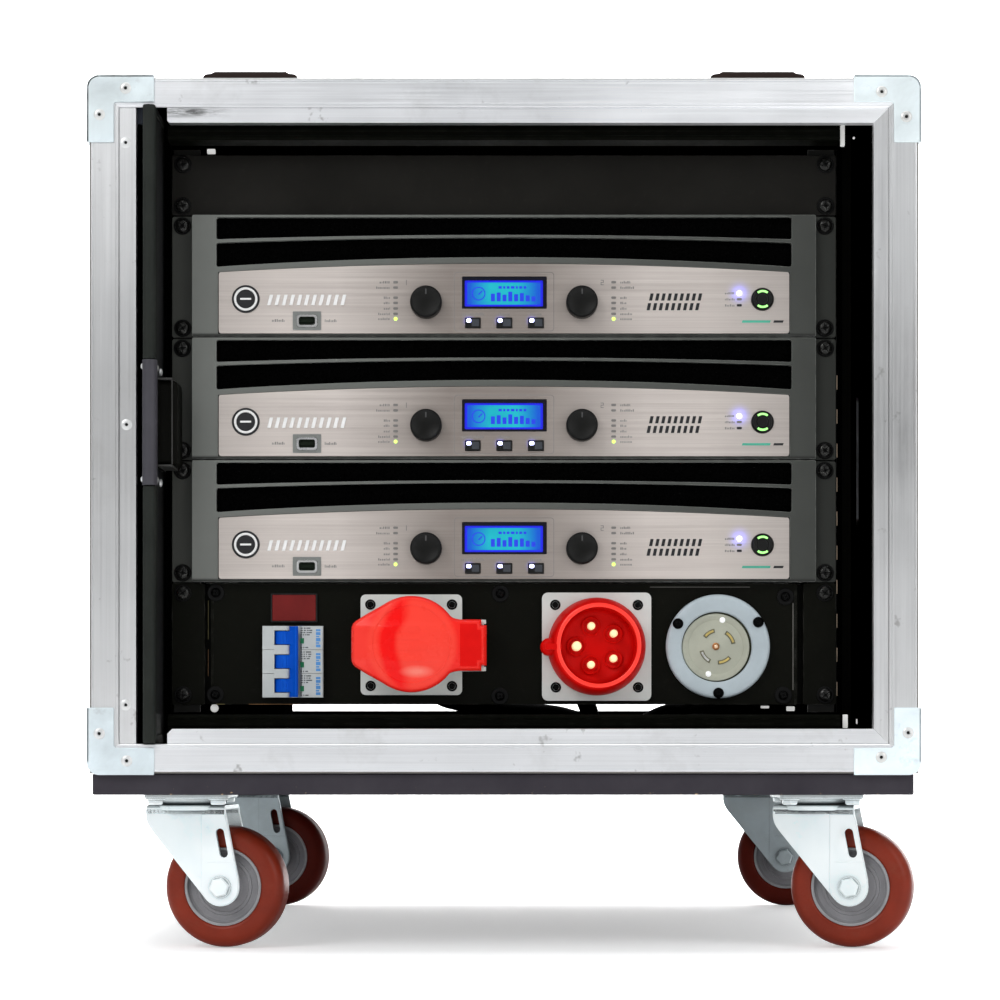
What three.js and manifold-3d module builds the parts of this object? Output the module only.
// Touring power-amplifier rack: a wheeled flight case with side pockets for its
// two doors, holding three 2U power amplifiers, a blank panel and a 2U mains
// distribution panel, on four swivel casters.
// Millimetres, +Z up, front towards -Y, origin on the floor under the middle of the footprint.
import * as THREE from "three";
import { mergeVertices } from "three/addons/utils/BufferGeometryUtils.js";
import Module from "manifold-3d";

const wasm = await Module();
wasm.setup();

// ---- driving dimensions ----
const GAP = 0.3; // between pieces that touch
const SIDES = [-1, 1]; // left, right
const BOARD_Z0 = 113;
const BOARD_Z1 = BOARD_Z0 + 15;
const CASE_X = 590 / 2; // half the case's width
const CASE_Y = 680 / 2; // half its depth
const CASE_Z0 = BOARD_Z1 + GAP;
const CASE_Z1 = CASE_Z0 + 494;
const RACK_UNIT = 44.45;
const EAR_X = 482.6 / 2; // half the width over the rack ears
const RACK_Z0 = 177.2;
const PANEL_Y = -294; // front face of the rack panels
const PANEL_MARGIN = 0.4; // above and below each panel
const DOOR_Z0 = 149.8;
const DOOR_Z1 = 604;

// ---- materials ----
const finish = (settings) => new THREE.MeshStandardMaterial(settings);
const MATERIAL = {
  laminate: finish({ color: 0x1c1c1e, roughness: 0.55 }),
  aluminium: finish({ color: 0xd2d5d8, roughness: 0.38, metalness: 1 }),
  board: finish({ color: 0x45434a, roughness: 0.6 }),
  blackSteel: finish({ color: 0x161616, roughness: 0.45, metalness: 0.4 }),
  zinc: finish({ color: 0xc3d0d6, roughness: 0.35, metalness: 1 }),
  tread: finish({ color: 0x7a2414, roughness: 0.4 }),
  core: finish({ color: 0x86868c, roughness: 0.5 }),
  fascia: finish({ color: 0x50544f, roughness: 0.5, metalness: 0.2 }),
  silver: finish({ color: 0xb5a9a1, roughness: 0.35, metalness: 0.8 }),
  black: finish({ color: 0x0f0f10, roughness: 0.4 }),
  greyPlastic: finish({ color: 0xbec5c4, roughness: 0.45 }),
  red: finish({ color: 0xe01b16, roughness: 0.3 }),
  blue: finish({ color: 0x0a50d8, roughness: 0.35 }),
  white: finish({ color: 0xd5dde0, roughness: 0.4 }),
  lamp: finish({ color: 0x7c2a2a, roughness: 0.3 }),
  door: finish({ color: 0x3a3e3e, roughness: 0.6 }),
};

// ---- solids ----
// Manifold solid from a closed geometry, turned right side out if need be
function solid(geometry) {
  geometry.deleteAttribute("normal");
  geometry.deleteAttribute("uv");
  const merged = mergeVertices(geometry, 1e-4);
  const index = merged.index.array;
  const triangles = [];
  for (let i = 0; i < index.length; i += 3) {
    const [a, b, c] = index.slice(i, i + 3);
    if (a !== b && b !== c && a !== c) triangles.push([a, b, c]);
  }
  const build = (faces) =>
    new wasm.Manifold(
      new wasm.Mesh({
        numProp: 3,
        vertProperties: new Float32Array(merged.attributes.position.array),
        triVerts: new Uint32Array(faces.flat()),
      }),
    );
  const built = build(triangles);
  return built.volume() >= 0 ? built : build(triangles.map(([a, b, c]) => [a, c, b]));
}
function box(x0, x1, y0, y1, z0, z1) {
  const block = new THREE.BoxGeometry(x1 - x0, y1 - y0, z1 - z0);
  return solid(block.translate((x0 + x1) / 2, (y0 + y1) / 2, (z0 + z1) / 2));
}
// box between two distances from the middle plane, on the left or right side
const sideBox = (side, near, far, ...rest) =>
  side < 0 ? box(-far, -near, ...rest) : box(near, far, ...rest);
function extrude(points, depth) {
  const shape = new THREE.Shape(points.map(([x, y]) => new THREE.Vector2(x, y)));
  return new THREE.ExtrudeGeometry(shape, { depth, bevelEnabled: false, steps: 1 });
}
// outline in X,Z pushed along Y
const plateY = (points, y0, y1) =>
  solid(extrude(points, y1 - y0).rotateX(Math.PI / 2).translate(0, y1, 0));
// outline in X,Y pushed along Z
const plateZ = (points, z0, z1) => solid(extrude(points, z1 - z0).translate(0, 0, z0));
// cylinder along Y, with a flat facet facing down
function rodY(x, z, radius, y0, y1, segments = 24) {
  const start = Math.PI / segments;
  const rod = new THREE.CylinderGeometry(radius, radius, y1 - y0, segments, 1, false, start);
  return solid(rod.translate(x, (y0 + y1) / 2, z));
}
function rodZ(x, y, radius, z0, z1, segments = 24) {
  const rod = new THREE.CylinderGeometry(radius, radius, z1 - z0, segments);
  return solid(rod.rotateX(Math.PI / 2).translate(x, y, (z0 + z1) / 2));
}
function rodX(y, z, radius, x0, x1, segments = 16) {
  const rod = new THREE.CylinderGeometry(radius, radius, x1 - x0, segments);
  return solid(rod.rotateZ(Math.PI / 2).translate((x0 + x1) / 2, y, z));
}
// profile of [radius, y] turned about a line along Y through x, z
function turnY(profile, segments, x, z) {
  const points = profile.map(([radius, y]) => new THREE.Vector2(radius, y));
  return solid(new THREE.LatheGeometry(points, segments, Math.PI / segments).translate(x, 0, z));
}
const add = (...parts) => parts.reduce((sum, part) => sum.add(part));
const cut = (body, ...tools) => tools.reduce((rest, tool) => rest.subtract(tool), body);

// ---- outlines ----
const radians = (degrees) => (degrees * Math.PI) / 180;
function arc(x, y, radius, from, to, steps) {
  const points = [];
  for (let i = 0; i <= steps; i++) {
    const angle = radians(from + ((to - from) * i) / steps);
    points.push([x + radius * Math.cos(angle), y + radius * Math.sin(angle)]);
  }
  return points;
}
const roundRect = (x0, x1, z0, z1, radius) => [
  ...arc(x1 - radius, z1 - radius, radius, 0, 90, 3),
  ...arc(x0 + radius, z1 - radius, radius, 90, 180, 3),
  ...arc(x0 + radius, z0 + radius, radius, 180, 270, 3),
  ...arc(x1 - radius, z0 + radius, radius, 270, 360, 3),
];
// parabola from right to left, highest in the middle
function arch(halfWidth, top, drop) {
  const steps = 9;
  const points = [];
  for (let i = 0; i <= steps; i++) {
    const x = halfWidth - (2 * halfWidth * i) / steps;
    points.push([x, top - drop * (x / halfWidth) ** 2]);
  }
  return points;
}

function mesh(name, body, material) {
  const { vertProperties, triVerts } = body.getMesh();
  const geometry = new THREE.BufferGeometry();
  geometry.setAttribute("position", new THREE.BufferAttribute(new Float32Array(vertProperties), 3));
  geometry.setIndex(new THREE.BufferAttribute(new Uint32Array(triVerts), 1));
  geometry.computeVertexNormals();
  const part = new THREE.Mesh(geometry, material);
  part.name = name;
  return part;
}

// ---- case ----
const SKIN = 2; // from the outside of the aluminium edging to the ply
const PLY = 9.5;
const EDGE_LEG = 32; // width of the edge angles and of the end frames' sides
const EDGE_ANGLE = 2.5; // thickness of the edge angles
const ANGLE_Y = 307; // half the length of the edge angles
const FRAME = 1.7; // thickness of the end frames
const BAND = 21; // width of the end frame's front face
const LIP = 10.7; // stepped lip inside it

// block the size of the case, drawn in by the same inset on the sides, top and bottom
const caseBlock = (inset, y0, y1) =>
  box(-CASE_X + inset, CASE_X - inset, y0, y1, CASE_Z0 + inset, CASE_Z1 - inset);

function stackingBlock(x, y0, y1, stepY0, stepY1) {
  const lid = CASE_Z1 - SKIN;
  const outline = [
    [x - 34, lid - 1], [x + 34, lid - 1], [x + 33, lid + 8],
    [x + 27, lid + 9.5], [x - 27, lid + 9.5], [x - 33, lid + 8],
  ];
  // stepped underneath to lie over the end frame
  const step = box(x - 40, x + 40, stepY0, stepY1, lid - 5, CASE_Z1 + 0.4);
  return cut(plateY(outline, y0, y1), step);
}
function caseShell() {
  const endY = CASE_Y - SKIN;
  const innerX = CASE_X - SKIN - PLY;
  const floor = CASE_Z0 + SKIN + PLY;
  const ceiling = CASE_Z1 - SKIN - PLY;
  let shell = cut(caseBlock(SKIN, -endY, endY), caseBlock(SKIN + PLY, -endY - 1, endY + 1));
  // aluminium angles along the four long edges, between the end frames
  const angles = [
    // upright leg z0, z1, flat leg z0, z1
    [CASE_Z0, CASE_Z0 + EDGE_LEG, CASE_Z0, CASE_Z0 + EDGE_ANGLE],
    [CASE_Z1 - EDGE_LEG, CASE_Z1, CASE_Z1 - EDGE_ANGLE, CASE_Z1],
  ];
  for (const side of SIDES) {
    for (const [legZ0, legZ1, flatZ0, flatZ1] of angles) {
      shell = add(
        shell,
        sideBox(side, CASE_X - EDGE_LEG, CASE_X, -ANGLE_Y, ANGLE_Y, flatZ0, flatZ1),
        sideBox(side, CASE_X - EDGE_ANGLE, CASE_X, -ANGLE_Y, ANGLE_Y, legZ0, legZ1),
      );
    }
    // pocket divider
    shell = add(shell, sideBox(side, 242.6, 246.6, -286, 292, floor - 1, ceiling + 1));
  }
  // battens behind the end lips
  for (const [y0, y1] of [[-324, -300], [300, 324]]) {
    shell = add(
      shell,
      box(-241, 241, y0, y1, ceiling - 28.5, ceiling + 1),
      box(-241, 241, y0, y1, floor - 1, floor + 30.5),
    );
  }
  // recessed side handles: pan thickening inside the wall, then the pan itself
  for (const side of SIDES) {
    shell = add(shell, sideBox(side, 279, innerX + 1, -78, 78, 318, 432));
    shell = cut(shell, sideBox(side, 281.2, 300, -72, 72, 324, 426));
  }
  for (const x of [-181, 181]) {
    shell = add(
      shell,
      stackingBlock(x, -326, -282, -330, -ANGLE_Y),
      stackingBlock(x, 282, 326, ANGLE_Y, 330),
    );
  }
  return shell;
}
// aluminium end frame with a stepped lip, notched where the door runs out of its pocket
function endFrame() {
  const frontY = -CASE_Y;
  const backY = frontY + EDGE_LEG;
  const lipInset = BAND + LIP;
  const notch = (z0, z1) => box(-262.5, -240, frontY - 5, frontY + 20, z0, z1);
  const frame = add(
    cut(caseBlock(0, frontY, frontY + FRAME), caseBlock(BAND, frontY - 1, frontY + FRAME + 1)),
    cut(caseBlock(0, frontY, backY), caseBlock(FRAME, frontY - 1, backY + 1)),
    cut(
      caseBlock(BAND - 0.1, frontY + 1.2, frontY + 11),
      caseBlock(lipInset, frontY, frontY + 20),
    ),
  );
  return cut(
    frame,
    notch(DOOR_Z0 - 1, CASE_Z0 + lipInset + 1),
    notch(CASE_Z1 - lipInset - 1, DOOR_Z1 + 1),
  );
}
function casterBoard() {
  const x = 290.5;
  const y = 336;
  const chamfer = 8;
  const outline = [
    [-x + chamfer, -y], [x - chamfer, -y], [x, -y + chamfer], [x, y - chamfer],
    [x - chamfer, y], [-x + chamfer, y], [-x, y - chamfer], [-x, -y + chamfer],
  ];
  return plateZ(outline, BOARD_Z0, BOARD_Z1);
}

// ---- rack rails and panels ----
const rackRail = (side) =>
  add(
    sideBox(side, 221, 242.2, -290.6, -288.4, 172, 581.5),
    sideBox(side, 240, 242.2, -290.6, -262, 172, 581.5),
  );
function blankPanel() {
  const z0 = RACK_Z0 + 8 * RACK_UNIT + PANEL_MARGIN;
  const z1 = RACK_Z0 + 9 * RACK_UNIT - PANEL_MARGIN;
  return add(
    box(-EAR_X, EAR_X, PANEL_Y, -291, z0, z1),
    box(-217, 217, -292, -278, z0, z0 + 1.5),
    box(-217, 217, -292, -278, z1 - 1.5, z1),
  );
}

// ---- mains distribution panel ----
// centres of the connectors, and half the width of the square flanges
const SOCKET = { x: -67.6, z: 220.8, half: 37.2 };
const INLET = { x: 67.2, z: 219.6, half: 39.6 };
const ROUND = { x: 155.2, z: 219.8 };
const FLANGE_Y = PANEL_Y - GAP; // back of the connector flanges

function distroPanel() {
  const z0 = RACK_Z0 + PANEL_MARGIN;
  const z1 = RACK_Z0 + 2 * RACK_UNIT - PANEL_MARGIN;
  let panel = box(-211.5, 211.5, PANEL_Y, -292, z0, z1);
  // folded channel and rack ear at each end
  for (const side of SIDES) {
    panel = add(
      panel,
      sideBox(side, 209.5, 211.5, PANEL_Y, -283, z0, z1),
      sideBox(side, 209.5, 219.5, -285, -283, z0, z1),
      sideBox(side, 217.5, 219.5, PANEL_Y, -283, z0, z1),
      sideBox(side, 217.5, EAR_X, PANEL_Y, -291.2, z0, z1),
    );
  }
  const housing = cut(
    box(-200, 200, -292.5, -190, z0 + 2, z1 - 2),
    box(-198.4, 198.4, -293, -191.6, z0 + 3.6, z1 - 3.6),
  );
  return cut(
    add(panel, housing),
    box(-176, -130.4, -300, -288, 182, 235.2), // breaker
    box(-169.6, -135.3, -300, -288, 237.1, 258.6), // pilot lamp
    rodY(SOCKET.x, SOCKET.z, 27, -300, -288),
    rodY(INLET.x, INLET.z, 29, -300, -288),
    rodY(ROUND.x, ROUND.z, 27, -300, -288),
  );
}

// three-pole breaker lying on its side, its poles stacked upwards
const POLE_PITCH = 17.45;
const POLE_Z = [0.5, 1.5, 2.5].map((step) => 182.45 + POLE_PITCH * step);

function breakerBody() {
  const body = add(
    box(-175.4, -131, -296.5, -236, 182.5, 234.7),
    box(-170.5, -144, -303, -296, 182.5, 234.7),
  );
  return cut(body, ...POLE_Z.map((z) => box(-169, -146.4, -310, -289, z - 5.2, z + 5.2)));
}
// barrels, levers and the tie bar that links the poles
function breakerToggle() {
  const pivot = { x: -160.5, y: -297 };
  const tilt = radians(35); // levers lean right of straight out
  const onLever = ([along, across]) => [
    pivot.x + Math.sin(tilt) * along + Math.cos(tilt) * across,
    pivot.y - Math.cos(tilt) * along + Math.sin(tilt) * across,
  ];
  const tieBar = [[10.6, -3], [10.6, 3], [14.8, 2.4], [14.8, -2.4]].map(onLever);
  const lever = [[0, -3], [0, 3], [11, 2.6], [11, -2.6]].map(onLever);
  let toggle = plateZ(tieBar, 183, 234.2);
  for (const z of POLE_Z) {
    toggle = add(
      toggle,
      rodZ(pivot.x, pivot.y, 6, z - 4.8, z + 4.8, 20),
      plateZ(lever, z - 4.8, z + 4.8),
    );
  }
  return toggle;
}
const pilotLamp = () =>
  add(
    box(-169.2, -135.7, -296, -290, 237.5, 258.2),
    box(-166, -139, -290.5, -270, 240, 256),
  );

// square flange with rounded corners and a round body behind it
const connectorBase = ({ x, z, half }, cornerRadius, bodyRadius) =>
  add(
    plateY(roundRect(x - half, x + half, z - half, z + half, cornerRadius), -299, FLANGE_Y),
    rodY(x, z, bodyRadius, -296, -246),
  );

// covered mains socket, its cover hinged on the right
const HINGE = { x: -15.4, y: -315 };
const LUG_Z = [205.2, 234.8]; // cover lug, between the bracket ears

function mainsSocket() {
  const { x, z } = SOCKET;
  let socket = add(connectorBase(SOCKET, 4, 26), rodY(x, z, 30.5, -314.5, -298));
  for (const [z0, z1] of [[201.6, 204.8], [235.2, 238.4]]) {
    socket = add(
      socket,
      box(-48, -12.7, -311, -303, z0, z1),
      box(-18.1, -12.7, -317.6, -304, z0, z1),
    );
  }
  return cut(socket, rodY(x, z, 21, -320, -302), rodZ(HINGE.x, HINGE.y, 1.5, 190, 250, 12));
}
function socketCover() {
  const { x, z } = SOCKET;
  const [lugZ0, lugZ1] = LUG_Z;
  // round lid, with a finger tab on the left and the hinge lug on the right
  const outline = [
    ...arc(x + 1, z, 34.6, 36, 144, 12),
    [-108, 235], [-109.5, 231], [-109.5, 209.5], [-108, 205.5],
    ...arc(x + 1, z, 34.6, 216, 324, 12),
    [-36, 202.2], [-18.7, 202.2], [-18.7, lugZ0], [-12.3, lugZ0],
    [-12.3, lugZ1], [-18.7, lugZ1], [-18.7, 237.9], [-36, 237.9],
  ];
  const rib = cut(
    plateY(roundRect(x - 33, x + 35, z - 14, z + 14, 3), -320, -315.2),
    box(-34, 0, -330, -300, 100, 300),
  );
  return add(
    plateY(outline, -326.5, -319.6),
    rib,
    rodZ(HINGE.x, HINGE.y, 3.1, lugZ0, lugZ1, 16),
    box(HINGE.x - 3, HINGE.x + 3, -321, HINGE.y, lugZ0, lugZ1),
    rodZ(HINGE.x, HINGE.y, 1.15, 201.8, 238.2, 12), // hinge pin
  );
}
function mainsInlet() {
  const { x, z } = INLET;
  const shroud = add(
    connectorBase(INLET, 4.5, 28),
    rodY(x, z, 34.9, -320, -298),
    box(x - 39, x - 30, -320, -298, z - 4, z + 4),
  );
  // five pins: x and z from the centre, radius
  const pins = [
    [-14.8, 0, 3.4], [-4.2, 14.6, 2.7], [12, 9.2, 2.7], [11.8, -8.9, 2.7], [-4.4, -13.4, 2.7],
  ].map(([dx, dz, radius]) => rodY(x + dx, z + dz, radius, -317, -298, 8));
  return add(cut(shroud, rodY(x, z, 29.3, -325, -300)), ...pins);
}
function roundInlet() {
  const profile = [
    // radius, y
    [0, -250], [26, -250], [26, FLANGE_Y], [37.7, FLANGE_Y], [37.7, -297.5], [36.2, -299.3],
    [25.6, -300.5], [24.5, -300.5], [24.5, -297], [22, -297], [0, -297],
  ];
  return turnY(profile, 28, ROUND.x, ROUND.z);
}

// ---- amplifiers: y from the panel face, z from the bottom of the rack space ----
const KNOB = { x: 56.3, z: 24.2 }; // one knob each side of the middle
const POWER = { x: 187.2, z: 27.1 };
const KEYS_X = [[-27.9, -17.2], [-5.2, 5.7], [17.7, 28.6]];

// cutters that pass right through the bezel and faceplate
const opening = (outline) => plateY(outline, -20, 5);
const hole = (x, z, radius, segments) => rodY(x, z, radius, -20, 5, segments);
const window = (x0, x1, z0, z1) => box(x0, x1, -20, 5, z0, z1);
const knobHoles = () => SIDES.map((side) => hole(side * KNOB.x, KNOB.z, 3.7, 16));
const airSlot = (top, topDrop, bottom, bottomDrop) =>
  opening([...arch(208.5, top, topDrop), ...arch(208.5, bottom, bottomDrop).reverse()]);
const archedPanel = (halfWidth, top, bottom) => [
  ...arch(halfWidth, top, 6.2),
  [-halfWidth, bottom],
  [halfWidth, bottom],
];

// open-fronted steel chassis with its rack ears
function ampChassis() {
  const tray = cut(
    box(-220, 220, 0.4, 411, 1.2, 87.2),
    box(-218.4, 218.4, -1, 409.4, 2.8, 85.6),
  );
  return add(tray, ...SIDES.map((side) => sideBox(side, 218.4, EAR_X, 0, 3, 0.4, 88.4)));
}
// moulded bezel: two swept air slots over an arched recess
const ampBezel = () =>
  cut(
    box(-226, 226, -7, -GAP, 0.3, 88.5),
    airSlot(86.9, 0, 74, 3.2),
    airSlot(72.3, 3.8, 58, 7),
    plateY(archedPanel(207, 53.2, 2.4), -20, -5.8),
    ...knobHoles(),
    hole(POWER.x, POWER.z, 8, 20),
    window(-33, 33, 4, 17),
  );
const ampFaceplate = () =>
  cut(
    plateY(archedPanel(206.5, 52.9, 2.9), -8.1, -6.1),
    ...knobHoles(),
    hole(POWER.x, POWER.z, 7.9, 20),
    window(-30.1, 30.5, 20.5, 43.5),
    window(-153, -132.4, 4.8, 18.4),
    ...KEYS_X.map(([x0, x1]) => window(x0 - 0.3, x1 + 0.3, 6.2, 13.9)),
  );
function ampKnob(side) {
  const profile = [
    // radius, y
    [0, -21], [10.6, -21], [11.5, -19.8], [11.5, -8.8], [3.2, -8.8], [3.2, 5], [0, 5],
  ];
  return turnY(profile, 18, side * KNOB.x, KNOB.z);
}
const powerButton = () =>
  turnY([[0, -10.4], [7, -10.4], [7.5, -9.8], [7.5, 3], [0, 3]], 20, POWER.x, POWER.z);
const menuKeys = () =>
  add(
    box(-31.5, 31.5, -3, -1.6, 4.6, 15.4),
    ...KEYS_X.map(([x0, x1]) => box(x0, x1, -9.6, -2.5, 6.5, 13.6)),
  );
// amplifiers are numbered from the top down
function amplifier(number) {
  const group = new THREE.Group();
  group.position.set(0, PANEL_Y, RACK_Z0 + (8 - 2 * number) * RACK_UNIT);
  const piece = (name, body, material) => group.add(mesh(`amp_${number}_${name}`, body, material));
  piece("chassis", ampChassis(), MATERIAL.fascia);
  piece("bezel", ampBezel(), MATERIAL.fascia);
  piece("faceplate", ampFaceplate(), MATERIAL.silver);
  piece("knob_left", ampKnob(-1), MATERIAL.black);
  piece("knob_right", ampKnob(1), MATERIAL.black);
  piece("power_button", powerButton(), MATERIAL.black);
  piece("menu_keys", menuKeys(), MATERIAL.black);
  return group;
}

// ---- casters: origin on the floor under the swivel ----
const WHEEL_R = 44.45;
const TREAD_Y = 31.6 / 2; // half the tread's width
const CORE_R = 28;
const TRAIL = 27; // from the swivel axis to the axle
const CASTER_H = BOARD_Z0 - GAP;
const CASTER_X = 230;
const CASTER_Y = 262;
const CASTERS = [
  // corner, side in x, side in y, yaw in degrees
  ["front_left", -1, -1, -9],
  ["front_right", 1, -1, -13],
  ["rear_left", -1, 1, -9],
  ["rear_right", 1, 1, -10],
];

const casterPlate = () =>
  add(box(-30.5, 30.5, -46, 46, 109.7, CASTER_H), rodZ(0, 0, 27, 104.6, 110));
// stamped fork: crown, two slotted legs, and the axle bolt through them
function casterFork() {
  const leg = [
    [-29, 104.2], [-29, 95.5], [-27.4, 90.4], [-24.2, 86.3], [16.1, 35.8],
    ...arc(TRAIL, WHEEL_R, 13.9, 224, 360, 8),
    [31.6, 95.5], [30.6, 104.2],
  ];
  const slot = [...arc(26.8, 84.3, 3.1, 0, 150, 5), ...arc(29.7, 69.2, 3.1, 180, 330, 5)];
  const fork = add(
    plateY(leg, -22.2, -19.2),
    plateY(leg, 19.2, 22.2),
    box(-28.8, 30.4, -22, 22, 101.2, 104.2),
    rodZ(0, 0, 28.6, 100.4, 104.2),
  );
  return add(
    cut(fork, plateY(slot, -30, 30)),
    rodY(TRAIL, WHEEL_R, 4.9, -24, 24, 16),
    rodY(TRAIL, WHEEL_R, 7.4, -27, -22, 6),
    rodY(TRAIL, WHEEL_R, 7, 22, 27.5, 6),
  );
}
// wheel part turned from one half of its [radius, y] profile and the mirror image
function turnWheel(half, segments) {
  const mirrored = half.map(([radius, y]) => [radius, -y]).reverse();
  return turnY([...half, ...mirrored, half[0]], segments, TRAIL, WHEEL_R);
}
const wheelCore = () =>
  turnWheel([[5.3, -18.2], [12, -18.2], [13.5, -9.5], [23.5, -9.5], [CORE_R, -14.6]], 20);
function wheelTread() {
  const segments = 24;
  const flats = 1 / Math.cos(Math.PI / segments); // puts the facets, not the corners, at the radius
  const half = [
    [CORE_R + 0.35, -14], [31, -TREAD_Y], [38.5 * flats, -TREAD_Y],
    [43 * flats, -12.6], [WHEEL_R * flats, -8],
  ];
  return turnWheel(half, segments);
}
function caster(corner, sideX, sideY, yaw) {
  const name = `caster_${corner}_`;
  const group = new THREE.Group();
  group.position.set(sideX * CASTER_X, sideY * CASTER_Y, 0);
  const arm = new THREE.Group();
  arm.rotation.z = radians(yaw);
  arm.add(mesh(name + "fork", casterFork(), MATERIAL.zinc));
  arm.add(mesh(name + "wheel_core", wheelCore(), MATERIAL.core));
  arm.add(mesh(name + "tread", wheelTread(), MATERIAL.tread));
  group.add(mesh(name + "plate", casterPlate(), MATERIAL.zinc), arm);
  return group;
}

// ---- pocket doors, parked in the side pockets; drawn as the front door, on the left ----
const DOOR_X0 = -256;
const DOOR_X1 = -248;
const DOOR_Y0 = -346;
const DOOR_Y1 = 196;

function doorLeaf() {
  const outline = [
    [DOOR_X0 + 2, DOOR_Y0], [DOOR_X1 - 2, DOOR_Y0], [DOOR_X1, DOOR_Y0 + 2],
    [DOOR_X1, DOOR_Y1], [DOOR_X0, DOOR_Y1], [DOOR_X0, DOOR_Y0 + 2],
  ];
  const z0 = DOOR_Z0 + 2;
  const z1 = DOOR_Z1 - 2;
  // hinge knuckle and the runner bar the leaf hangs on
  const leaf = add(
    plateZ(outline, DOOR_Z0, DOOR_Z1),
    rodZ((DOOR_X0 + DOOR_X1) / 2, DOOR_Y1 + 4, 4.5, z0, z1, 12),
    box(DOOR_X0 + 0.5, DOOR_X1 - 0.5, DOOR_Y1 + 6, DOOR_Y1 + 44, z0, z1),
  );
  return cut(leaf, box(-260, -240, -336, -298, 346.8, 410.2));
}
function latchDish() {
  const dish = add(
    box(-257.6, -256.3, -347.6, -290, 336, 420),
    box(-257.6, -246.6, -347.6, -346.3, 336, 420),
    box(-257.6, -233, -335.4, -298.6, 347.4, 409.6),
  );
  return cut(dish, box(-300, -234.3, -334.1, -299.9, 348.7, 408.3));
}
function latchHandle() {
  const y = -317;
  const z = 378.5;
  return add(
    rodX(y, z, 10, -238.2, -234.7),
    box(-250, -238, y - 3.5, y + 3.5, z - 14.5, z + 14.5),
  );
}
function door(end, turn) {
  const group = new THREE.Group();
  group.rotation.z = turn;
  group.add(mesh(end + "_door", doorLeaf(), MATERIAL.door));
  group.add(mesh(end + "_latch_dish", latchDish(), MATERIAL.black));
  group.add(mesh(end + "_latch_handle", latchHandle(), MATERIAL.zinc));
  return group;
}

// ---- side handle, hanging from its pivot bar in the recessed pan ----
function sideHandle(side) {
  const pivotZ = 413;
  return add(
    sideBox(side, 283.4, 291.4, -58, -50, 346, pivotZ + 3),
    sideBox(side, 283.4, 291.4, 50, 58, 346, pivotZ + 3),
    sideBox(side, 282.6, 292.2, -58, 58, 340, 355),
    sideBox(side, 284.6, 290.2, -66, 66, pivotZ - 2.8, pivotZ + 2.8),
  );
}

// ---- assembly ----
const rack = new THREE.Group();
const rearFrame = mesh("rear_frame", endFrame(), MATERIAL.aluminium);
rearFrame.rotation.z = Math.PI;
rack.add(
  mesh("case_shell", caseShell(), MATERIAL.laminate),
  mesh("front_frame", endFrame(), MATERIAL.aluminium),
  rearFrame,
  mesh("caster_board", casterBoard(), MATERIAL.board),
  mesh("left_rack_rail", rackRail(-1), MATERIAL.blackSteel),
  mesh("right_rack_rail", rackRail(1), MATERIAL.blackSteel),
  mesh("blank_panel", blankPanel(), MATERIAL.blackSteel),
  mesh("distro_panel", distroPanel(), MATERIAL.blackSteel),
  mesh("breaker_body", breakerBody(), MATERIAL.greyPlastic),
  mesh("breaker_toggle", breakerToggle(), MATERIAL.blue),
  mesh("pilot_lamp", pilotLamp(), MATERIAL.lamp),
  mesh("mains_socket", mainsSocket(), MATERIAL.greyPlastic),
  mesh("socket_cover", socketCover(), MATERIAL.red),
  mesh("mains_inlet", mainsInlet(), MATERIAL.red),
  mesh("round_inlet", roundInlet(), MATERIAL.white),
  ...[1, 2, 3].map(amplifier),
  ...CASTERS.map((entry) => caster(...entry)),
  door("front", 0),
  door("rear", Math.PI),
  mesh("left_handle", sideHandle(-1), MATERIAL.black),
  mesh("right_handle", sideHandle(1), MATERIAL.black),
);

// the casters trail to one side, so the case stands a little off the middle of the footprint
const bounds = new THREE.Box3().setFromObject(rack, true);
rack.position.x = -Math.round(50 * (bounds.min.x + bounds.max.x)) / 100;

export default rack;
